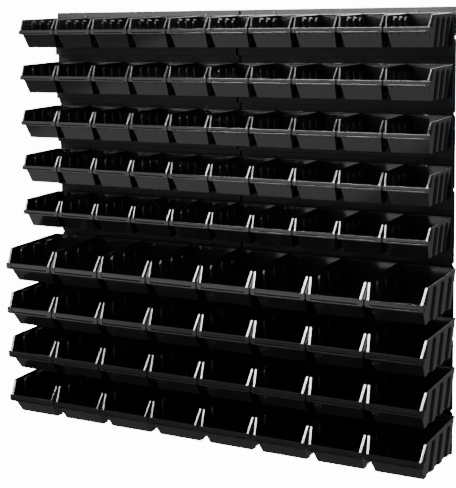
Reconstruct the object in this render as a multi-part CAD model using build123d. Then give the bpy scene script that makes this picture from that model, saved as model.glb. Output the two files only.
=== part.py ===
from build123d import *
import os

# Wall rack of moulded louvre panels with open-fronted parts bins hung on their rails.
# X runs to the right, Z up and -Y out of the wall. The wall face is Y = 0 and the
# origin is the middle of the rack's back. All sizes are in mm.

# ---- panels
PANEL_W = 576.0
ROW_PITCH = 121.0
RAILS_PER_PANEL = 3
PANEL_COLUMNS = 2
PANEL_ROWS = 3
BASE_T = 4.0
RAIL_OUT = 16.0
RAIL_T = 3.0
RAIL_TOP = 20.0
RAIL_FOOT = 4.0
RAIL_SIDE_INSET = 2.7
RAIL_NOTCH_W = 30.0
RAIL_NOTCH_H = 9.0
EDGE_NOTCH_R = 4.0

# ---- screws
SCREW_X = 190.0
SCREW_DROP = 10.0
SCREW_HEAD_R = 4.5
SCREW_HEAD_H = 2.6
SCREW_SHANK_R = 2.1
SCREW_HOLE_R = 2.5

# ---- bins
SMALL_ROWS = 5
SMALL_PER_ROW = 10
SMALL_GAP = 2.7
SMALL_REACH = 182.0
LARGE_ROWS = 4
LARGE_PER_ROW = 8
# how far a row of larger bins stands out past the panels on each side
LARGE_OVERHANG = 14.0
LARGE_GAP = 3.0
LARGE_REACH = 246.0
CLEARANCE = 0.4
HOOK_T = 2.4
HOOK_DROP = 9.0

# ---- sizes that follow from the ones above
PANEL_H = ROW_PITCH * RAILS_PER_PANEL
RACK_W = PANEL_W * PANEL_COLUMNS
RACK_H = PANEL_H * PANEL_ROWS
RACK_TOP = RACK_H / 2
RAIL_FRONT = BASE_T + RAIL_OUT
RAIL_H = ROW_PITCH - RAIL_TOP - RAIL_FOOT
SMALL_PITCH = RACK_W / SMALL_PER_ROW
LARGE_PITCH = (RACK_W + 2 * LARGE_OVERHANG) / LARGE_PER_ROW
BIN_BACK = RAIL_FRONT + CLEARANCE
# a hook hangs CLEARANCE above the rail's top edge
HOOK_SEAT = -RAIL_TOP + CLEARANCE


def prism(points, along):
    """A straight prism: the polygon through the points, swept along a vector."""
    return Solid.extrude(Face(Wire.make_polygon(points)), Vector(*along))


def side_prism(outline, x_from, x_to):
    """A prism along X from (reach, z) pairs; reach counts out from the wall."""
    return prism([(x_from, -reach, z) for reach, z in outline], (x_to - x_from, 0, 0))


def front_prism(outline, near, far):
    """A prism along Y from (x, z) pairs, between two distances from the wall."""
    return prism([(x, -near, z) for x, z in outline], (0, near - far, 0))


def block(x_range, reach_range, z_range):
    """A plain box between two x values, two distances from the wall and two heights."""
    x0, x1 = x_range
    near, far = reach_range
    z0, z1 = z_range
    return side_prism([(near, z0), (far, z0), (far, z1), (near, z1)], x0, x1)


def make_panel(outer_side):
    """One louvre panel, centred in X with its top edge at z = 0; outer_side is -1 or 1."""
    half = PANEL_W / 2
    panel = block((-half, half), (0, BASE_T), (-PANEL_H, 0))
    side = half - RAIL_SIDE_INSET
    rib_x = [-0.75 * half, -0.25 * half, 0.25 * half, 0.75 * half]
    for rail in range(RAILS_PER_PANEL):
        top = -rail * ROW_PITCH - RAIL_TOP
        foot = top - RAIL_H
        plate = block((-side, side), (RAIL_FRONT - RAIL_T, RAIL_FRONT), (foot, top))
        shelf = block((-side, side), (BASE_T - 1, RAIL_FRONT), (foot, foot + RAIL_T))
        panel = panel + plate + shelf
        for sign in (-1, 1):
            ends = sorted((sign * side, sign * (side - RAIL_T)))
            panel = panel + block(ends, (BASE_T - 1, RAIL_FRONT), (foot, top))
            # finger notch in the rail's top edge, in line with the screws
            left = sign * SCREW_X - RAIL_NOTCH_W / 2
            gap = block(
                (left, left + RAIL_NOTCH_W),
                (RAIL_FRONT - RAIL_T - 1, RAIL_FRONT + 1),
                (top - RAIL_NOTCH_H, top + 1),
            )
            panel = panel - gap
        # stiffening ribs low in the pocket, below the reach of the hooks
        for x in rib_x:
            rib_top = top - 2.5 * HOOK_DROP
            rib = block((x - 1.2, x + 1.2), (BASE_T - 1, RAIL_FRONT - 1), (foot, rib_top))
            panel = panel + rib
    for share in (0.2, 0.7):
        notch = Cylinder(EDGE_NOTCH_R, 4 * RAIL_FRONT, rotation=(90, 0, 0))
        panel = panel - Pos(outer_side * half, 0, -share * PANEL_H) * notch
    for sign in (-1, 1):
        for drop in screw_drops():
            hole = Cylinder(SCREW_HOLE_R, 4 * BASE_T, rotation=(90, 0, 0))
            panel = panel - Pos(sign * SCREW_X, 0, -drop) * hole
    return panel.solid()


def screw_drops():
    """How far the screws are below their panel's top edge."""
    last_rail = (RAILS_PER_PANEL - 1) * ROW_PITCH
    return (SCREW_DROP, last_rail + SCREW_DROP)


def make_screw():
    """A pan-head screw with a cross recess, drawn as far as the wall face."""
    head = Pos(0, -BASE_T - SCREW_HEAD_H / 2, 0) * Cylinder(
        SCREW_HEAD_R, SCREW_HEAD_H, rotation=(90, 0, 0)
    )
    shank = Pos(0, -BASE_T / 2, 0) * Cylinder(SCREW_SHANK_R, BASE_T, rotation=(90, 0, 0))
    crown = head.edges().filter_by(GeomType.CIRCLE).sort_by(Axis.Y)[0]
    head = fillet(crown, SCREW_HEAD_H * 0.4)
    slot_at = BASE_T + SCREW_HEAD_H
    arm = SCREW_HEAD_R * 0.55
    cross_a = block((-arm, arm), (slot_at - 1.2, slot_at + 1), (-0.5, 0.5))
    cross_b = block((-0.5, 0.5), (slot_at - 1.2, slot_at + 1), (-arm, arm))
    return (head + shank - cross_a - cross_b).solid()


class Bin:
    """Sizes of one kind of bin; heights are below the top of its rail zone."""

    def __init__(self, width, reach, rim_back, rim_front, lean, lip_top, lip_h, lip_deep,
                 bottom, front_run, inset, wall, grooves, hook_inset):
        self.width = width
        self.reach = reach
        self.rim_back = rim_back
        self.rim_front = rim_front
        self.lean = lean
        self.lip_top = lip_top
        self.lip_h = lip_h
        self.lip_deep = lip_deep
        self.bottom = bottom
        self.front_run = front_run
        self.inset = inset
        self.wall = wall
        self.grooves = grooves
        self.hook_inset = hook_inset


def fluted(bottom_from, bottom_to, count, groove):
    """Groove centres spread evenly between two distances, as (near, far) pairs."""
    step = (bottom_to - bottom_from) / count
    centres = [bottom_from + step * (i + 0.5) for i in range(count)]
    return [(c - groove / 2 * step, c + groove / 2 * step) for c in centres]


SMALL = Bin(
    width=SMALL_PITCH - SMALL_GAP,
    reach=SMALL_REACH,
    rim_back=14.5,
    rim_front=19.0,
    lean=15.0,
    lip_top=0.39 * ROW_PITCH,
    lip_h=12.0,
    lip_deep=10.0,
    bottom=0.775 * ROW_PITCH,
    front_run=0.1 * SMALL_REACH,
    inset=0.085 * SMALL_PITCH,
    wall=2.0,
    grooves=fluted(BIN_BACK + 8, 0.77 * SMALL_REACH, 3, 0.56),
    hook_inset=12.0,
)

LARGE = Bin(
    width=LARGE_PITCH - LARGE_GAP,
    reach=LARGE_REACH,
    rim_back=16.0,
    rim_front=24.5,
    lean=21.0,
    lip_top=0.51 * ROW_PITCH,
    lip_h=17.0,
    lip_deep=12.0,
    bottom=0.95 * ROW_PITCH,
    front_run=0.106 * LARGE_REACH,
    inset=0.085 * LARGE_PITCH,
    wall=2.2,
    grooves=fluted(BIN_BACK + 12, 0.81 * LARGE_REACH, 3, 0.52),
    # the end bins stand out past the panel, so their hooks must clear its end wall
    hook_inset=RAIL_SIDE_INSET + RAIL_T + 2 + LARGE_OVERHANG,
)


def make_bin(kind):
    """One open-fronted bin, centred in X, with heights below its rail zone's top."""
    half = kind.width / 2
    wall = kind.wall
    z_back = -kind.rim_back
    z_front = -kind.rim_front
    z_lip = -kind.lip_top
    z_under = z_lip - kind.lip_h
    z_floor = -kind.bottom
    reach = kind.reach
    rim_reach = reach - kind.lean
    wall_top = reach - kind.lip_deep
    wall_foot = wall_top - kind.front_run
    back_foot = BIN_BACK + 3

    # outer shape: the side view crossed with a front view that narrows downwards
    outline = [
        (BIN_BACK, z_back), (rim_reach, z_front), (reach, z_lip), (reach, z_under),
        (wall_top, z_under), (wall_foot, z_floor), (back_foot, z_floor),
    ]
    step_in = 1.2
    slope = (kind.inset - step_in) / (z_back - z_floor)
    outer_top = half - step_in
    outer_foot = half - kind.inset
    narrow = front_prism(
        [(-outer_top, z_back), (outer_top, z_back), (outer_foot, z_floor), (-outer_foot, z_floor)],
        0, reach + 10,
    )
    skin = side_prism(outline, -half, half) & narrow

    # the rim along the top of each side and the thicker flange down its front edge
    rim_h = 4.5
    top_strip = [
        (BIN_BACK, z_back), (rim_reach, z_front),
        (rim_reach, z_front - rim_h), (BIN_BACK, z_back - rim_h),
    ]
    front_strip = [
        (rim_reach - 5, z_front - 0.2), (rim_reach, z_front), (reach, z_lip),
        (reach, z_lip - 3), (reach - 7, z_lip - 3), (rim_reach - 5, z_front - rim_h),
    ]
    body = skin
    for sign in (-1, 1):
        near, far = sorted((sign * half, sign * (half - 6)))
        body = body + side_prism(top_strip, near, far)
        near, far = sorted((sign * half, sign * (half - kind.inset - 2)))
        body = body + side_prism(front_strip, near, far)

    # the lip runs the full width, with its lower corners cut away
    cut = kind.lip_h / 2
    lip = front_prism(
        [(-half, z_lip), (half, z_lip), (half, z_under + cut), (half - cut, z_under),
         (cut - half, z_under), (-half, z_under + cut)],
        wall_top - 2, reach,
    )
    body = body + lip

    # the hollow, open at the top and above the lip
    ceiling = 20.0
    inside = [
        (BIN_BACK + wall, ceiling), (BIN_BACK + wall, z_back), (back_foot + wall, z_floor + wall),
        (wall_foot - 1, z_floor + wall), (wall_top - 0.5 * wall, z_under + wall),
        (reach - 5.5, z_under + wall), (reach - 5.5, z_lip), (reach + 20, z_lip), (reach + 20, ceiling),
    ]
    up = ceiling - z_back
    inner_narrow = front_prism(
        [(-outer_top + wall - up * slope, ceiling), (outer_top - wall + up * slope, ceiling),
         (outer_foot - wall, z_floor), (wall - outer_foot, z_floor)],
        0, reach + 40,
    )
    body = body - (side_prism(inside, -half, half) & inner_narrow)

    # flutes: a groove outside and a matching ridge inside, both leaning with the wall
    deep = 3.0
    groove_top = z_front - 6
    for sign in (-1, 1):
        for near, far in kind.grooves:
            face = outer_top + slope * (groove_top - z_back)
            drop = groove_top - z_floor
            lean = (-sign * slope * drop, 0, -drop)
            ridge_face = face - wall + slope * wall
            ridge = prism(
                [(sign * (ridge_face + 1), -near + wall, groove_top + wall),
                 (sign * (ridge_face + 1), -far - wall, groove_top + wall),
                 (sign * (ridge_face - deep), -far - wall + deep, groove_top + wall),
                 (sign * (ridge_face - deep), -near + wall - deep, groove_top + wall)],
                (-sign * slope * (drop + wall), 0, -drop - wall),
            )
            # a shade of extra length takes the groove out through the floor
            longer = 1.1
            groove = prism(
                [(sign * (face + 2), -near + 2, groove_top), (sign * (face + 2), -far - 2, groove_top),
                 (sign * (face - deep), -far + deep, groove_top),
                 (sign * (face - deep), -near - deep, groove_top)],
                tuple(longer * v for v in lean),
            )
            body = body + ridge
            body = body - groove

    # label channel in the lip's face, between the two end blocks
    block_w = 1.05 * kind.lip_h if kind.lip_h < 15 else 0.75 * kind.lip_h
    channel = block(
        (-half + block_w, half - block_w), (reach - 2.2, reach + 5),
        (z_under + 2.2, z_lip - 1.8),
    )
    body = body - channel

    # the hook: a bridge over the rail's top edge and a finger down behind it
    grip = half - kind.hook_inset
    rail_back = RAIL_FRONT - RAIL_T - CLEARANCE
    bridge = block(
        (-grip, grip), (rail_back - HOOK_T, BIN_BACK + wall / 2), (HOOK_SEAT, z_back - 0.8)
    )
    finger = block(
        (-grip, grip), (rail_back - HOOK_T, rail_back), (HOOK_SEAT - HOOK_DROP, z_back - 0.8)
    )
    return (body + bridge + finger).solid()


def save(name, solids):
    """Writes one node: a single solid, or a group of separate ones."""
    shape = solids[0] if len(solids) == 1 else Compound(children=solids)
    export_step(shape, f"parts/{name}.step")


os.makedirs("parts", exist_ok=True)

left_panel = make_panel(-1)
right_panel = make_panel(1)
screw = make_screw()
screws = []
for row in range(PANEL_ROWS):
    top = RACK_TOP - row * PANEL_H
    for column in range(PANEL_COLUMNS):
        x = (column - (PANEL_COLUMNS - 1) / 2) * PANEL_W
        panel = left_panel if x < 0 else right_panel
        save(f"panel_r{row + 1}_c{column + 1}", [Pos(x, 0, top) * panel])
        for sign in (-1, 1):
            for drop in screw_drops():
                screws.append(Pos(x + sign * SCREW_X, 0, top - drop) * screw)
save("wall_screws", screws)

small = make_bin(SMALL)
for row in range(SMALL_ROWS):
    z = RACK_TOP - row * ROW_PITCH
    places = [(i - (SMALL_PER_ROW - 1) / 2) * SMALL_PITCH for i in range(SMALL_PER_ROW)]
    bins = [Pos(x, 0, z) * small for x in places]
    if row == 0:
        for i, one in enumerate(bins):
            save(f"small_bin_r1_{i + 1:02d}", [one])
    else:
        middle = SMALL_PER_ROW // 2
        save(f"small_bins_r{row + 1}_left", bins[:middle])
        save(f"small_bins_r{row + 1}_right", bins[middle:])

large = make_bin(LARGE)
for row in range(LARGE_ROWS):
    z = RACK_TOP - (SMALL_ROWS + row) * ROW_PITCH
    for i in range(LARGE_PER_ROW):
        x = (i - (LARGE_PER_ROW - 1) / 2) * LARGE_PITCH
        save(f"large_bin_r{SMALL_ROWS + row + 1}_{i + 1}", [Pos(x, 0, z) * large])
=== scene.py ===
import math

import bmesh
import bpy
from mathutils import Matrix, Vector


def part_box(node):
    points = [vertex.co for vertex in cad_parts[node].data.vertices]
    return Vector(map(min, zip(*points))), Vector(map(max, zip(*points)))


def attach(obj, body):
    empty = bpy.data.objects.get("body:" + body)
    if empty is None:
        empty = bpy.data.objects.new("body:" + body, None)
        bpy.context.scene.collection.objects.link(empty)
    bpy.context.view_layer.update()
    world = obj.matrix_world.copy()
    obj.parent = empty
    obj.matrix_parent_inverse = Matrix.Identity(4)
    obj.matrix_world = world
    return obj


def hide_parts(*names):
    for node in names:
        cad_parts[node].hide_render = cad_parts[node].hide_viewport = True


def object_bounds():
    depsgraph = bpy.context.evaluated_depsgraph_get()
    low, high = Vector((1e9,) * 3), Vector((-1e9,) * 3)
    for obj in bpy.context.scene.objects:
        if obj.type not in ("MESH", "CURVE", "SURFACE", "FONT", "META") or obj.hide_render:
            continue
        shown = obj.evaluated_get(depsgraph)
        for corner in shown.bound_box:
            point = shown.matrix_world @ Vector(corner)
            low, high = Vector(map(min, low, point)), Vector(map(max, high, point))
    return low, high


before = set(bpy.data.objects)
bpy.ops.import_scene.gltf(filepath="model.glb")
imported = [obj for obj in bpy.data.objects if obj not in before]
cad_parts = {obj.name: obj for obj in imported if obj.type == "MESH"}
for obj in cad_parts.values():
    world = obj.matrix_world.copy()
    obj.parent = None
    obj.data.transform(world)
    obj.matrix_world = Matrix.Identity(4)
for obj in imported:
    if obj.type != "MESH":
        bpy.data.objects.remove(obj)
rack_low, rack_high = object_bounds()

# ---- sizes in metres, some read from the parts in model.glb

SMALL_ROWS = 5
SMALL_PER_ROW = 10
LARGE_ROWS = 4
LARGE_PER_ROW = 8
PANEL_ROWS = 3
PANEL_COLUMNS = 2
RAILS_PER_PANEL = 3

panel_low, panel_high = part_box("panel_r1_c1")
PANEL_W = panel_high.x - panel_low.x
PANEL_H = panel_high.z - panel_low.z
RACK_TOP = panel_high.z
ROW_PITCH = PANEL_H / RAILS_PER_PANEL
SMALL_PITCH = PANEL_W * PANEL_COLUMNS / SMALL_PER_ROW

BASE_T = 0.004
RAIL_FRONT = panel_high.y - panel_low.y
RAIL_T = 0.003
RAIL_TOP = 0.020
RAIL_FOOT = 0.004
RAIL_SIDE_INSET = 0.0027
RAIL_NOTCH_W = 0.030
RAIL_NOTCH_H = 0.009
EDGE_NOTCH_R = 0.004
EDGE_NOTCH_SHARES = (0.2, 0.7)
SEAM_GROOVE = 0.003
SCREW_X = 0.190
SCREW_DROP = 0.010

CLEARANCE = 0.0004
BIN_BACK = RAIL_FRONT + CLEARANCE
HOOK_T = 0.0024
HOOK_DROP = 0.009

# the flutes in the bins' sides: how many, how deep, and the slopes and corners of their heads
FLUTES = 3
FLUTE_DEEP = 0.0042
FLUTE_RUN = 0.0018
FLUTE_CORNER = 0.0050
FLUTE_DROP = 0.0060
FLUTE_BELOW_RIM = 0.0055


class BinSizes:
    """One kind of bin, read from the box of its first node and a few fixed sizes."""

    def __init__(self, node, zone_top, rim_fall, lean, lip_share, lip_h, lip_deep, run_share,
                 inset_share, pitch, wall, flute_from, flute_to, flute_fill, hook_inset,
                 block_share, flange_w, flange_t):
        low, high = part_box(node)
        self.centre = (low.x + high.x) / 2
        self.zone_top = zone_top
        self.half = (high.x - low.x) / 2
        self.reach = -low.y
        self.z_back = high.z
        self.z_floor = low.z
        self.z_front = high.z - rim_fall
        self.lean = lean
        self.z_lip = zone_top - lip_share * ROW_PITCH
        self.lip_h = lip_h
        self.z_under = self.z_lip - lip_h
        self.wall_top = self.reach - lip_deep
        self.wall_foot = self.wall_top - run_share * self.reach
        self.inset = inset_share * pitch
        self.wall = wall
        self.hook_inset = hook_inset
        self.block_w = block_share * lip_h
        self.flange_w = flange_w
        self.flange_t = flange_t
        step = (flute_to - flute_from) / FLUTES
        centres = [flute_from + step * (i + 0.5) for i in range(FLUTES)]
        wide = flute_fill * step / 2
        self.flutes = [(c - wide, c + wide) for c in centres]


large_low, large_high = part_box("large_bin_r6_1")
next_low, next_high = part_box("large_bin_r6_2")
LARGE_PITCH = next_low.x - large_low.x
LARGE_OVERHANG = (LARGE_PITCH * LARGE_PER_ROW - PANEL_W * PANEL_COLUMNS) / 2

small_low, small_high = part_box("small_bin_r1_01")
SMALL = BinSizes(
    "small_bin_r1_01", RACK_TOP, rim_fall=0.0045, lean=0.015, lip_share=0.39, lip_h=0.012,
    lip_deep=0.010, run_share=0.1, inset_share=0.085, pitch=SMALL_PITCH, wall=0.002,
    flute_from=BIN_BACK + 0.008, flute_to=0.77 * -small_low.y, flute_fill=0.66, hook_inset=0.012,
    block_share=1.05, flange_w=0.0050, flange_t=0.0042,
)
LARGE = BinSizes(
    "large_bin_r6_1", RACK_TOP - SMALL_ROWS * ROW_PITCH, rim_fall=0.0085, lean=0.021,
    lip_share=0.51, lip_h=0.017, lip_deep=0.012, run_share=0.106, inset_share=0.085,
    pitch=LARGE_PITCH, wall=0.0022, flute_from=BIN_BACK + 0.012, flute_to=0.81 * -large_low.y,
    flute_fill=0.62, hook_inset=RAIL_SIDE_INSET + RAIL_T + 0.002 + LARGE_OVERHANG,
    block_share=0.75, flange_w=0.0066, flange_t=0.0056,
)


# ---- modelling helpers

def clear_selection():
    """Back to object mode with nothing selected."""
    if bpy.context.mode != "OBJECT":
        bpy.ops.object.mode_set(mode="OBJECT")
    bpy.ops.object.select_all(action="DESELECT")


def activate(piece):
    clear_selection()
    piece.select_set(True)
    bpy.context.view_layer.objects.active = piece


def open_mesh(piece):
    activate(piece)
    bpy.ops.object.mode_set(mode="EDIT")


def close_mesh():
    bpy.ops.object.mode_set(mode="OBJECT")


def settle():
    """Puts the active piece's place into its mesh."""
    bpy.ops.object.transform_apply(location=True, rotation=True, scale=True)


def box_piece(name, low, high):
    clear_selection()
    low, high = Vector(low), Vector(high)
    bpy.ops.mesh.primitive_cube_add(size=1, location=(low + high) / 2)
    piece = bpy.context.object
    piece.name = name
    piece.scale = high - low
    settle()
    return piece


def pick(piece, kind, test):
    """In edit mode, selects the faces, edges or vertices whose place and normal pass the test."""
    bpy.ops.mesh.select_mode(type=kind)
    bpy.ops.mesh.select_all(action="DESELECT")
    mesh = bmesh.from_edit_mesh(piece.data)
    mesh.normal_update()
    found = 0
    if kind == "FACE":
        for face in mesh.faces:
            if test(face.calc_center_median(), face.normal):
                face.select_set(True)
                found += 1
    elif kind == "EDGE":
        for edge in mesh.edges:
            a, b = (v.co for v in edge.verts)
            if test(a, b):
                edge.select_set(True)
                found += 1
    else:
        for vert in mesh.verts:
            if test(vert.co, vert.normal):
                vert.select_set(True)
                found += 1
    bmesh.update_edit_mesh(piece.data)
    return found


def move(offset):
    bpy.ops.transform.translate(value=offset)


def stretch(factors, about):
    bpy.ops.transform.resize(value=factors, center_override=about)


def cut(place, normal, drop_outer=False):
    """Bisects everything by a plane; drop_outer takes away what the normal points at."""
    bpy.ops.mesh.select_mode(type="FACE")
    bpy.ops.mesh.select_all(action="SELECT")
    bpy.ops.mesh.bisect(
        plane_co=place, plane_no=normal, use_fill=False, clear_outer=drop_outer, threshold=1e-6
    )


def modify(piece, kind, **settings):
    """Adds a modifier with its settings and applies it."""
    activate(piece)
    modifier = piece.modifiers.new(kind.title(), kind)
    for name, value in settings.items():
        setattr(modifier, name, value)
    bpy.ops.object.modifier_apply(modifier=modifier.name)


def round_edges(piece, width, segments=2, angle=35):
    modify(
        piece, "BEVEL", width=width, segments=segments, limit_method="ANGLE",
        angle_limit=math.radians(angle), use_clamp_overlap=True, miter_outer="MITER_ARC",
    )


def smooth(piece, angle=40):
    """Smooth shading that leaves the flat faces flat beside their rounded edges."""
    activate(piece)
    bpy.ops.object.shade_smooth_by_angle(angle=math.radians(angle))
    modify(piece, "WEIGHTED_NORMAL", keep_sharp=True)


def join(pieces, name):
    activate(pieces[0])
    for piece in pieces[1:]:
        piece.select_set(True)
    if len(pieces) > 1:
        bpy.ops.object.join()
    joined = bpy.context.object
    joined.name = name
    joined.data.name = name
    return joined


def copy_of(piece, name, offset):
    """A copy with its own mesh, moved by an offset that goes into the mesh."""
    twin = piece.copy()
    twin.data = piece.data.copy()
    twin.data.transform(Matrix.Translation(offset))
    twin.name = name
    twin.data.name = name
    bpy.context.scene.collection.objects.link(twin)
    return twin


def carve(piece, cutter):
    """Cuts the cutter's shape out of the piece and throws the cutter away."""
    modify(piece, "BOOLEAN", operation="DIFFERENCE", solver="EXACT", object=cutter)
    bpy.data.objects.remove(cutter, do_unlink=True)


# ---- the bins

def bin_shell(kind):
    """The thin-walled tub: floor, back, front wall and two fluted sides."""
    half_top = kind.half - 0.0012
    half_foot = kind.half - kind.inset
    rise = (kind.wall_top - kind.wall_foot) / (kind.z_under - kind.z_floor)
    front_at_top = kind.wall_foot + rise * (kind.z_back - kind.z_floor)
    tub = box_piece(
        "tub", (-half_top, -front_at_top, kind.z_floor), (half_top, -BIN_BACK, kind.z_back)
    )
    middle_z = (kind.z_floor + kind.z_back) / 2
    open_mesh(tub)
    # draw the foot in on all four sides
    pick(tub, "VERT", lambda p, n: p.z < middle_z)
    stretch((half_foot / half_top, 1, 1), (0, 0, 0))
    pick(tub, "VERT", lambda p, n: p.z < middle_z and p.y < -kind.wall_foot)
    move((0, front_at_top - kind.wall_foot, 0))
    pick(tub, "VERT", lambda p, n: p.z < middle_z and p.y > -BIN_BACK - 0.001)
    move((0, -0.003, 0))
    # open the top, slope the rim and lean the front edges of the sides
    pick(tub, "FACE", lambda p, n: n.z > 0.9)
    bpy.ops.mesh.delete(type="FACE")
    rim_reach = kind.reach - kind.lean
    fall = (kind.z_back - kind.z_front) / (rim_reach - BIN_BACK)
    cut((0, -BIN_BACK, kind.z_back - 0.0002), (0, -fall, 1), drop_outer=True)
    slant = Vector((0, -(kind.z_front - kind.z_lip), kind.lean))
    cut((0, -rim_reach, kind.z_front), slant, drop_outer=True)
    # lower the front wall to just inside the lip
    wall_edge = kind.z_lip - 0.003
    cut((0, 0, wall_edge), (0, 0, 1))
    pick(tub, "FACE", lambda p, n: n.y < -0.5 and p.z > wall_edge and abs(p.x) < half_top * 0.6)
    bpy.ops.mesh.delete(type="FACE")
    # flutes pressed into the sides
    flute_top = kind.z_front - FLUTE_BELOW_RIM
    wall_slope = (half_top - half_foot) / (kind.z_back - kind.z_floor)
    cut((0, 0, flute_top), (0, 0, 1))
    cut((0, 0, flute_top - FLUTE_RUN), (0, 0, 1))
    cut((0, 0, flute_top - FLUTE_RUN - 1.3 * FLUTE_DROP), (0, 0, 1))
    for near, far in kind.flutes:
        for reach in (near, near + FLUTE_RUN, near + FLUTE_RUN + FLUTE_CORNER,
                      far - FLUTE_RUN - FLUTE_CORNER, far - FLUTE_RUN, far):
            cut((0, -reach, 0), (0, 1, 0))
    for near, far in kind.flutes:
        for sign in (-1, 1):
            pick(tub, "VERT", lambda p, n: sign * p.x > half_foot - 0.002
                 and near + FLUTE_RUN / 2 < -p.y < far - FLUTE_RUN / 2
                 and p.z < flute_top - FLUTE_RUN / 2)
            move((-sign * FLUTE_DEEP, 0, 0))
            # the corners of the flute's head come down along the wall into an arch
            for reach in (near, near + FLUTE_RUN, far - FLUTE_RUN, far):
                pick(tub, "VERT", lambda p, n: sign * p.x > half_foot - 0.007
                     and abs(-p.y - reach) < FLUTE_RUN / 4
                     and min(abs(p.z - flute_top),
                             abs(p.z - flute_top + FLUTE_RUN)) < FLUTE_RUN / 4)
                move((-sign * wall_slope * FLUTE_DROP, 0, -FLUTE_DROP))
    close_mesh()
    modify(tub, "SOLIDIFY", thickness=kind.wall, offset=-1, use_even_offset=True,
           use_quality_normals=True)
    round_edges(tub, 0.0006)
    return tub


def bin_lip(kind):
    """The label-holder lip: a band with end blocks, a sunk channel and round lower corners."""
    lip_t = 0.0065
    upper_edge = kind.z_lip - 0.0020
    ledge = kind.z_under + 0.003
    slot_h = 0.17 * kind.lip_h
    corner = 0.34 * kind.lip_h
    sunk = 0.0012
    lip = box_piece(
        "lip", (-kind.half, -kind.reach, kind.z_under),
        (kind.half, -kind.reach + lip_t, kind.z_lip),
    )
    open_mesh(lip)
    # round the two lower corners
    pick(lip, "EDGE", lambda a, b: abs(a.x - b.x) < 1e-5 and abs(a.z - b.z) < 1e-5
         and a.z < kind.z_under + 1e-4)
    bpy.ops.mesh.bevel(offset=corner, segments=4, affect="EDGES")
    # sink the channel between the end blocks
    channel_x = kind.half - kind.block_w
    for sign in (-1, 1):
        cut((sign * channel_x, 0, 0), (1, 0, 0))
    cut((0, 0, upper_edge), (0, 0, 1))
    cut((0, 0, ledge), (0, 0, 1))
    cut((0, 0, ledge + slot_h), (0, 0, 1))
    front = -kind.reach + 1e-4
    pick(lip, "FACE", lambda p, n: n.y < -0.9 and p.y < front and abs(p.x) < channel_x
         and ledge < p.z < upper_edge)
    bpy.ops.mesh.extrude_region_move(TRANSFORM_OT_translate={"value": (0, sunk, 0)})
    # the label slot slopes in behind the lower ledge
    pick(lip, "VERT", lambda p, n: p.z < ledge + 1e-4 and abs(p.x) < channel_x + 1e-4
         and abs(p.y + kind.reach - sunk) < 1e-4)
    move((0, 0.0032, 0))
    close_mesh()
    round_edges(lip, 0.0003)
    return lip


def side_strip(kind, sign, name, wide, near, far, bottom, top):
    """A box along one outer side, so much wide, between two y values and two heights."""
    sides = sorted((sign * kind.half, sign * (kind.half - wide)))
    return box_piece(name, (sides[0], near, bottom), (sides[1], far, top))


def bin_flange(kind, sign):
    """The thick rounded flange down the slanted front edge of one side, and its wedge."""
    front = kind.lean - kind.reach
    foot = kind.z_lip - 0.002
    middle = (kind.z_front + kind.z_lip) / 2
    draft = kind.inset / (kind.z_back - kind.z_floor) * (kind.z_front - kind.z_lip)
    flange = side_strip(kind, sign, "flange", kind.flange_w, front, front + kind.flange_t,
                        foot, kind.z_front)
    open_mesh(flange)
    # the foot comes forward and draws in with the wall
    pick(flange, "VERT", lambda p, n: p.z < middle)
    move((-sign * draft, -kind.lean, 0))
    close_mesh()
    round_edges(flange, 0.0012, segments=3)
    # outside it a wedge, turned well away to the side, runs straight down to the end of the lip
    outside = kind.half - 0.001
    wedge = side_strip(kind, sign, "wedge", 0.003, front + 0.0012, front + 0.014,
                       foot, kind.z_front - 0.003)
    open_mesh(wedge)
    pick(wedge, "VERT", lambda p, n: p.z < middle)
    move((0, -kind.lean, 0))
    pick(wedge, "VERT", lambda p, n: p.z < middle and abs(p.x) < outside)
    move((-sign * draft, 0, 0))
    pick(wedge, "VERT", lambda p, n: abs(p.x) > outside and n.y < 0)
    move((0, 0.006, 0))
    pick(wedge, "VERT", lambda p, n: p.z < middle and abs(p.x) > outside and n.y < 0)
    move((0, 0.0045, 0))
    close_mesh()
    round_edges(wedge, 0.0003)
    return join([flange, wedge], "flange")


def bin_rim(kind, sign):
    """The bead along the top of one side, from the hook to the front edge."""
    front = kind.lean - kind.reach
    thick = 0.0042
    bead = side_strip(kind, sign, "bead", thick, front - 0.0006, -BIN_BACK,
                      kind.z_back - thick, kind.z_back)
    open_mesh(bead)
    pick(bead, "VERT", lambda p, n: p.y < front / 2)
    move((0, 0, kind.z_front - kind.z_back))
    close_mesh()
    round_edges(bead, thick / 3, segments=3)
    return bead


def bin_hook(kind):
    """The back edge's bead, the bridge over the rail and the finger behind it."""
    grip = kind.half - kind.hook_inset
    rail_back = RAIL_FRONT - RAIL_T - CLEARANCE
    seat = kind.zone_top - RAIL_TOP + CLEARANCE
    crown = kind.z_back - 0.0008
    hook = box_piece("hook", (-grip, -BIN_BACK - 0.001, seat), (grip, -rail_back + HOOK_T, crown))
    open_mesh(hook)
    cut((0, -rail_back, 0), (0, 1, 0))
    pick(hook, "FACE", lambda p, n: n.z < -0.9 and p.y > -rail_back)
    bpy.ops.mesh.extrude_region_move(TRANSFORM_OT_translate={"value": (0, 0, -HOOK_DROP)})
    close_mesh()
    round_edges(hook, 0.0008, segments=2)
    edge_x, edge_t = kind.half - 0.002, 0.0034
    edge = box_piece(
        "back_edge", (-edge_x, -BIN_BACK - edge_t, kind.z_back - edge_t),
        (edge_x, -BIN_BACK, kind.z_back),
    )
    round_edges(edge, 0.0005)
    return join([hook, edge], "hook")


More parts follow.
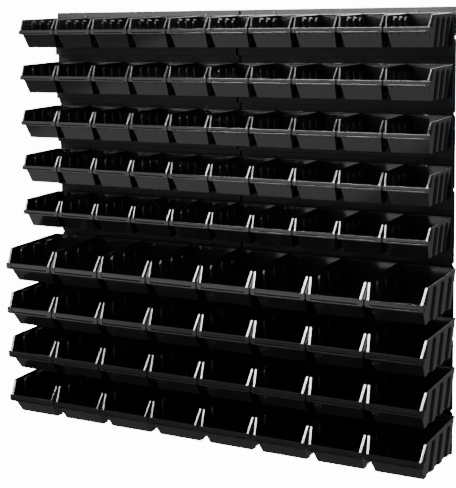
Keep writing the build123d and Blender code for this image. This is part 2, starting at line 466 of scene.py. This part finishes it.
def bin_gussets(kind):
    """Small ribs that hold the lip out from the front wall."""
    ribs = []
    slope = (kind.wall_top - kind.wall_foot) / (kind.z_under - kind.z_floor)
    drop, half_t, setback = 0.004, 0.0008, 0.0035
    for sign in (-1, 1):
        for share in (0.42, 0.80):
            x = sign * share * (kind.half - kind.inset * 0.6)
            rib = box_piece(
                "rib", (x - half_t, -kind.reach + setback, kind.z_under - drop),
                (x + half_t, -kind.wall_top + 0.003, kind.z_under + 0.001),
            )
            open_mesh(rib)
            pick(rib, "VERT", lambda p, n: p.z < kind.z_under - drop / 2 and p.y < -kind.wall_top)
            move((0, kind.reach - setback - (kind.wall_top - slope * drop), 0))
            close_mesh()
            ribs.append(rib)
    return join(ribs, "gussets")


def make_bin(kind, name):
    parts = [bin_shell(kind), bin_lip(kind), bin_hook(kind), bin_gussets(kind)]
    for sign in (-1, 1):
        parts.append(bin_flange(kind, sign))
        parts.append(bin_rim(kind, sign))
    whole = join(parts, name)
    smooth(whole)
    return whole


# ---- the wall panels

def rail_plate(side, top, foot):
    """One louvre plate: two notches in its top edge, closed ends and a shelf at its foot."""
    front, back = -RAIL_FRONT, -RAIL_FRONT + RAIL_T
    plate = box_piece("plate", (-side, front, foot), (side, back, top))
    taper = 0.002
    open_mesh(plate)
    for sign in (-1, 1):
        for edge in (-1, 1):
            cut((sign * SCREW_X + edge * RAIL_NOTCH_W / 2, 0, 0), (1, 0, 0))
            cut((sign * SCREW_X + edge * (RAIL_NOTCH_W / 2 - taper), 0, 0), (1, 0, 0))
    pick(plate, "VERT", lambda p, n: p.z > top - 1e-4
         and abs(abs(p.x) - SCREW_X) < RAIL_NOTCH_W / 2 - taper / 2)
    move((0, 0, -RAIL_NOTCH_H))
    close_mesh()
    round_edges(plate, 0.0005)
    shelf_x = side - 0.0008
    shelf = box_piece("shelf", (-shelf_x, front + 0.0012, foot), (shelf_x, 0, foot + RAIL_T))
    ends = []
    for sign in (-1, 1):
        inner, outer = sorted((sign * (side - RAIL_T), sign * (side - 0.0001)))
        ends.append(box_piece("end", (inner, front + 0.001, foot + 0.0002), (outer, -0.001, top)))
    parts = [shelf] + ends
    for part in parts:
        round_edges(part, 0.0007)
    return join([plate] + parts, "rail")


def make_panel(name, outer_side):
    """One moulded panel with its top edge at z = 0, centred in X; outer_side is -1 or 1."""
    half = PANEL_W / 2
    base = box_piece("base", (-half, -BASE_T, -PANEL_H), (half, 0, 0))
    cutters = []
    for share in EDGE_NOTCH_SHARES:
        clear_selection()
        bpy.ops.mesh.primitive_cylinder_add(
            vertices=24, radius=EDGE_NOTCH_R, depth=0.1, rotation=(math.pi / 2, 0, 0),
            location=(outer_side * half, 0, -share * PANEL_H),
        )
        settle()
        cutters.append(bpy.context.object)
    # half a V groove down the inner edge, so the seam between the columns shows as a dark line
    clear_selection()
    bpy.ops.mesh.primitive_cylinder_add(
        vertices=4, radius=SEAM_GROOVE, depth=PANEL_H + 0.002,
        location=(-outer_side * half, -BASE_T, -PANEL_H / 2),
    )
    settle()
    cutters.append(bpy.context.object)
    carve(base, join(cutters, "cutters"))
    round_edges(base, 0.0007)
    parts = [base]
    for rail in range(RAILS_PER_PANEL):
        top = -rail * ROW_PITCH - RAIL_TOP
        foot = -(rail + 1) * ROW_PITCH + RAIL_FOOT
        parts.append(rail_plate(half - RAIL_SIDE_INSET, top, foot))
    panel = join(parts, name)
    smooth(panel)
    return panel


def make_screw(name):
    """A pan-head screw on the panel's face, with a cross recess."""
    clear_selection()
    head_r, head_h = 0.0045, 0.0026
    bpy.ops.mesh.primitive_cylinder_add(
        vertices=28, radius=head_r, depth=head_h, rotation=(math.pi / 2, 0, 0),
        location=(0, -BASE_T - head_h / 2, 0),
    )
    head = bpy.context.object
    settle()
    arm, slot = head_r * 0.55, 0.0005
    face = -BASE_T - head_h
    cross = box_piece("cross", (-arm, face - 0.001, -slot), (arm, face + 0.0012, slot))
    upright = box_piece("upright", (-slot, face - 0.001, -arm), (slot, face + 0.0012, arm))
    carve(head, cross)
    carve(head, upright)
    round_edges(head, 0.0006, segments=3, angle=50)
    smooth(head)
    head.name = name
    return head


# ---- materials

class Maths:
    """A socket that can be used in Python expressions."""

    def __init__(self, tree, socket):
        self.tree = tree
        self.socket = socket

    def step(self, operation, other, flip=False):
        node = self.tree.nodes.new("ShaderNodeMath")
        node.operation = operation
        pair = (other, self) if flip else (self, other)
        for place, value in enumerate(pair):
            if isinstance(value, Maths):
                self.tree.links.new(value.socket, node.inputs[place])
            else:
                node.inputs[place].default_value = value
        return Maths(self.tree, node.outputs[0])

    def __add__(self, other):
        return self.step("ADD", other)

    __radd__ = __add__

    def __mul__(self, other):
        return self.step("MULTIPLY", other)

    __rmul__ = __mul__

    def __sub__(self, other):
        return self.step("SUBTRACT", other)

    def __rsub__(self, other):
        return self.step("SUBTRACT", other, flip=True)


class Finish:
    """A new material whose nodes are added one call at a time."""

    def __init__(self, name):
        self.material = bpy.data.materials.new(name)
        self.material.use_nodes = True
        self.tree = self.material.node_tree
        self.shader = self.tree.nodes["Principled BSDF"]

    def node(self, kind, settings=None, **sockets):
        """Adds a node, sets what it is told and links or sets its sockets by name."""
        made = self.tree.nodes.new(kind)
        for name, value in (settings or {}).items():
            if name == "stops":
                ramp = made.color_ramp
                while len(ramp.elements) < len(value):
                    ramp.elements.new(0.5)
                for element, (place, colour) in zip(ramp.elements, value):
                    element.position = place
                    element.color = colour
            else:
                setattr(made, name, value)
        for name, value in sockets.items():
            self.give(made.inputs[name.replace("_", " ")], value)
        return made

    def give(self, socket, value):
        if isinstance(value, Maths):
            self.tree.links.new(value.socket, socket)
        elif isinstance(value, bpy.types.NodeSocket):
            self.tree.links.new(value, socket)
        else:
            socket.default_value = value

    def value(self, socket):
        return Maths(self.tree, socket)

    def place(self):
        return self.tree.nodes.new("ShaderNodeTexCoord").outputs["Object"]


def grey(level, tint=(1.0, 1.0, 1.0)):
    return (level * tint[0], level * tint[1], level * tint[2], 1.0)


def moulded_black(name, dark, pale, rough, coarse, dust, ior=1.5, gloss_above=None):
    """Moulded black plastic: faint mottling, a fine grain, soft flow marks and a little dust.

    gloss_above is a height: what lies above it keeps its gloss, as no bins hang and rub there."""
    finish = Finish(name)
    at = finish.place()
    mottle = finish.node("ShaderNodeTexNoise", Vector=at, Scale=9.0, Detail=4.0, Roughness=0.55)
    grain = finish.node("ShaderNodeTexNoise", Vector=at, Scale=coarse, Detail=2.0, Roughness=0.6)
    drawn = finish.node("ShaderNodeMapping", Vector=at, Scale=(1.0, 1.0, 0.18))
    flow = finish.node("ShaderNodeTexNoise", Vector=drawn.outputs[0], Scale=38.0, Detail=3.0)
    mottled = finish.value(mottle.outputs[0])
    flowing = finish.value(flow.outputs[0])
    grained = finish.value(grain.outputs[0])
    # dust settles on what faces up
    facing = finish.node("ShaderNodeSeparateXYZ",
                         Vector=finish.tree.nodes.new("ShaderNodeNewGeometry").outputs["Normal"])
    up = finish.node("ShaderNodeMapRange", Value=finish.value(facing.outputs["Z"]),
                     From_Min=0.55, From_Max=1.0, To_Min=0.0, To_Max=1.0)
    dusty = finish.value(up.outputs[0]) * mottled * dust
    tone = finish.node("ShaderNodeValToRGB", {"stops": [(0.30, grey(dark)), (0.72, grey(pale))]},
                       Fac=mottled * 0.6 + flowing * 0.4)
    coloured = finish.node("ShaderNodeMix", {"data_type": "RGBA"})
    finish.give(coloured.inputs[0], dusty)
    finish.give(coloured.inputs[6], tone.outputs[0])
    finish.give(coloured.inputs[7], grey(0.16, (1.0, 0.98, 0.95)))
    finish.give(finish.shader.inputs["Base Color"], coloured.outputs[2])
    roughness = rough - 0.05 + mottled * 0.07 + flowing * 0.04 + dusty * 0.5
    if gloss_above is not None:
        spot = finish.node("ShaderNodeSeparateXYZ", Vector=at)
        glossy = finish.node("ShaderNodeMapRange", Value=finish.value(spot.outputs["Z"]),
                             From_Min=gloss_above - 0.002, From_Max=gloss_above + 0.002,
                             To_Min=0.0, To_Max=1.0)
        finish.give(finish.shader.inputs["Coat Weight"], finish.value(glossy.outputs[0]))
        finish.shader.inputs["Coat Roughness"].default_value = 0.12
    finish.give(finish.shader.inputs["Roughness"], roughness)
    bump = finish.node("ShaderNodeBump", Strength=0.10, Distance=0.0001,
                       Height=grained * 0.5 + flowing * 0.5)
    finish.give(finish.shader.inputs["Normal"], bump.outputs[0])
    finish.shader.inputs["IOR"].default_value = ior
    return finish.material


def dark_screw_metal(name):
    """Very dark metal with faint blotches."""
    finish = Finish(name)
    blotch = finish.node("ShaderNodeTexNoise", Vector=finish.place(), Scale=420.0, Detail=3.0)
    shade = finish.node("ShaderNodeValToRGB", {"stops": [(0.3, grey(0.02)), (0.7, grey(0.05))]},
                        Fac=finish.value(blotch.outputs[0]))
    finish.give(finish.shader.inputs["Base Color"], shade.outputs[0])
    finish.give(finish.shader.inputs["Roughness"], finish.value(blotch.outputs[0]) * 0.2 + 0.35)
    finish.shader.inputs["Metallic"].default_value = 1.0
    return finish.material


def dress(piece, material):
    piece.data.materials.clear()
    piece.data.materials.append(material)


bin_black = moulded_black("bin_black", 0.014, 0.022, 0.11, 900.0, 0.10)
# the panel's black is darker than the bins': partly its own black plastic, partly painted shade
# for the shade the bins cast on it between the rows
panel_black_with_painted_shade = moulded_black("panel_black_with_painted_shade", 0.006, 0.010, 0.36, 700.0, 0.04, ior=1.25,
                            gloss_above=RACK_TOP - RAIL_TOP + 0.004)
screw_dark_metal = dark_screw_metal("screw_dark_metal")


# ---- every piece in its place

for column, outer_side in enumerate((-1, 1)):
    panel_model = make_panel("panel_model", outer_side)
    x = (column - (PANEL_COLUMNS - 1) / 2) * PANEL_W
    for row in range(PANEL_ROWS):
        node = f"panel_r{row + 1}_c{column + 1}"
        panel = copy_of(panel_model, "moulded_" + node, (x, 0, RACK_TOP - row * PANEL_H))
        dress(panel, panel_black_with_painted_shade)
        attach(panel, "rack")
        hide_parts(node)
    bpy.data.objects.remove(panel_model, do_unlink=True)

screw_model = make_screw("screw_model")
screws = []
for row in range(PANEL_ROWS):
    for column in range(PANEL_COLUMNS):
        x = (column - (PANEL_COLUMNS - 1) / 2) * PANEL_W
        for sign in (-1, 1):
            for rail in (0, RAILS_PER_PANEL - 1):
                z = RACK_TOP - row * PANEL_H - rail * ROW_PITCH - SCREW_DROP
                screws.append(copy_of(screw_model, "screw", (x + sign * SCREW_X, 0, z)))
bpy.data.objects.remove(screw_model, do_unlink=True)
screw_set = join(screws, "screw_heads")
dress(screw_set, screw_dark_metal)
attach(screw_set, "rack")
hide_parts("wall_screws")

small_model = make_bin(SMALL, "small_model")
for row in range(SMALL_ROWS):
    copies = []
    for i in range(SMALL_PER_ROW):
        x = (i - (SMALL_PER_ROW - 1) / 2) * SMALL_PITCH
        copies.append(copy_of(small_model, f"tub_small_r1_{i + 1:02d}", (x, 0, -row * ROW_PITCH)))
    if row == 0:
        named = [(copy, f"small_bin_r1_{i + 1:02d}") for i, copy in enumerate(copies)]
    else:
        middle = SMALL_PER_ROW // 2
        left = join(copies[:middle], f"tubs_small_r{row + 1}_left")
        right = join(copies[middle:], f"tubs_small_r{row + 1}_right")
        named = [(left, f"small_bins_r{row + 1}_left"), (right, f"small_bins_r{row + 1}_right")]
    for piece, node in named:
        dress(piece, bin_black)
        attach(piece, node)
        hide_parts(node)
bpy.data.objects.remove(small_model, do_unlink=True)

large_model = make_bin(LARGE, "large_model")
for row in range(LARGE_ROWS):
    for i in range(LARGE_PER_ROW):
        node = f"large_bin_r{SMALL_ROWS + row + 1}_{i + 1}"
        x = (i - (LARGE_PER_ROW - 1) / 2) * LARGE_PITCH
        tub = copy_of(large_model, "tub_" + node, (x, 0, -row * ROW_PITCH))
        dress(tub, bin_black)
        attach(tub, node)
        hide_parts(node)
bpy.data.objects.remove(large_model, do_unlink=True)


# ---- floor, light and camera

FLOOR_DROP = 0.9
WHITE_SHOWN = 14.0
WORLD_LIGHT = 0.2


def make_floor():
    """A pale floor that shows but doesn't light the rack by itself."""
    clear_selection()
    bpy.ops.mesh.primitive_circle_add(
        vertices=64, radius=14, fill_type="NGON", location=(0, 0, rack_low.z - FLOOR_DROP)
    )
    floor = bpy.context.object
    floor.name = "floor"
    settle()
    finish = Finish("floor_white")
    finish.shader.inputs["Base Color"].default_value = (0.9, 0.9, 0.9, 1)
    finish.shader.inputs["Roughness"].default_value = 0.8
    finish.shader.inputs["Emission Color"].default_value = (1, 1, 1, 1)
    finish.shader.inputs["Emission Strength"].default_value = WHITE_SHOWN
    floor.data.materials.append(finish.material)
    floor.visible_diffuse = False
    floor.visible_glossy = False
    floor.visible_shadow = False


def make_world():
    """A white studio: bright where it is seen, soft where it lights."""
    world = bpy.data.worlds.new("studio")
    bpy.context.scene.world = world
    world.use_nodes = True
    tree = world.node_tree
    background = tree.nodes["Background"]
    background.inputs["Color"].default_value = (1, 1, 1, 1)
    path = tree.nodes.new("ShaderNodeLightPath")
    seen = Maths(tree, path.outputs["Is Camera Ray"])
    strength = seen * (WHITE_SHOWN - WORLD_LIGHT) + WORLD_LIGHT
    tree.links.new(strength.socket, background.inputs["Strength"])


def softbox(name, place, aim, size, power):
    """A rectangular area lamp turned towards aim, with its power in watts."""
    data = bpy.data.lights.new(name, "AREA")
    data.shape = "RECTANGLE"
    data.size, data.size_y = size
    data.energy = power
    lamp = bpy.data.objects.new(name, data)
    lamp.location = place
    lamp.rotation_euler = (Vector(aim) - Vector(place)).to_track_quat("-Z", "Y").to_euler()
    bpy.context.scene.collection.objects.link(lamp)
    return lamp


make_floor()
make_world()
# lamps that show only as glints: each is where one set of faces mirrors it to the camera
glints = [
    softbox("key_softbox", (-0.76, -2.34, 1.60), (0, -0.25, -0.25), (1.25, 1.1), 500),
    softbox("top_softbox", (0.6, -0.75, 2.9), (0, -0.15, 0), (2.6, 1.1), 45),
    softbox("left_edge_softbox", (-2.1, -0.85, 1.75), (0, -0.2, 0.1), (0.5, 1.3), 50),
    softbox("front_edge_softbox", (0.0, -2.1, 2.8), (0, -0.2, 0.1), (0.7, 0.5), 50),
    softbox("right_softbox", (0.9, -2.6, 1.9), (0, -0.2, 0.1), (0.6, 0.6), 80),
    softbox("rim_softbox", (0.5, 2.6, 1.7), (0, -0.1, 0.1), (2.5, 1.0), 50),
]
for lamp in glints:
    lamp.visible_diffuse = False
# a dim light from the left for the lips, and a card below that lifts their undersides
softbox("left_softbox", (-1.45, -2.9, -0.05), (0, -0.2, 0.1), (2.1, 1.9), 19)
softbox("floor_card", (-1.35, -1.55, -2.2), (0, -0.16, 0.2), (2.6, 1.2), 6)

camera_data = bpy.data.cameras.new("camera")
camera = bpy.data.objects.new("camera", camera_data)
bpy.context.scene.collection.objects.link(camera)
bpy.context.scene.camera = camera
camera_data.sensor_width = 36.0
camera_data.lens = 90.7746
camera_data.shift_y = -0.175
camera.location = (1.4885, -2.8219, 0.5048)
yaw, pitch, roll = math.radians(28.451), math.radians(-6.177), math.radians(-0.569)
camera.rotation_euler = (
    Matrix.Rotation(yaw, 4, "Z") @ Matrix.Rotation(math.pi / 2 + pitch, 4, "X")
    @ Matrix.Rotation(roll, 4, "Z")
).to_euler()
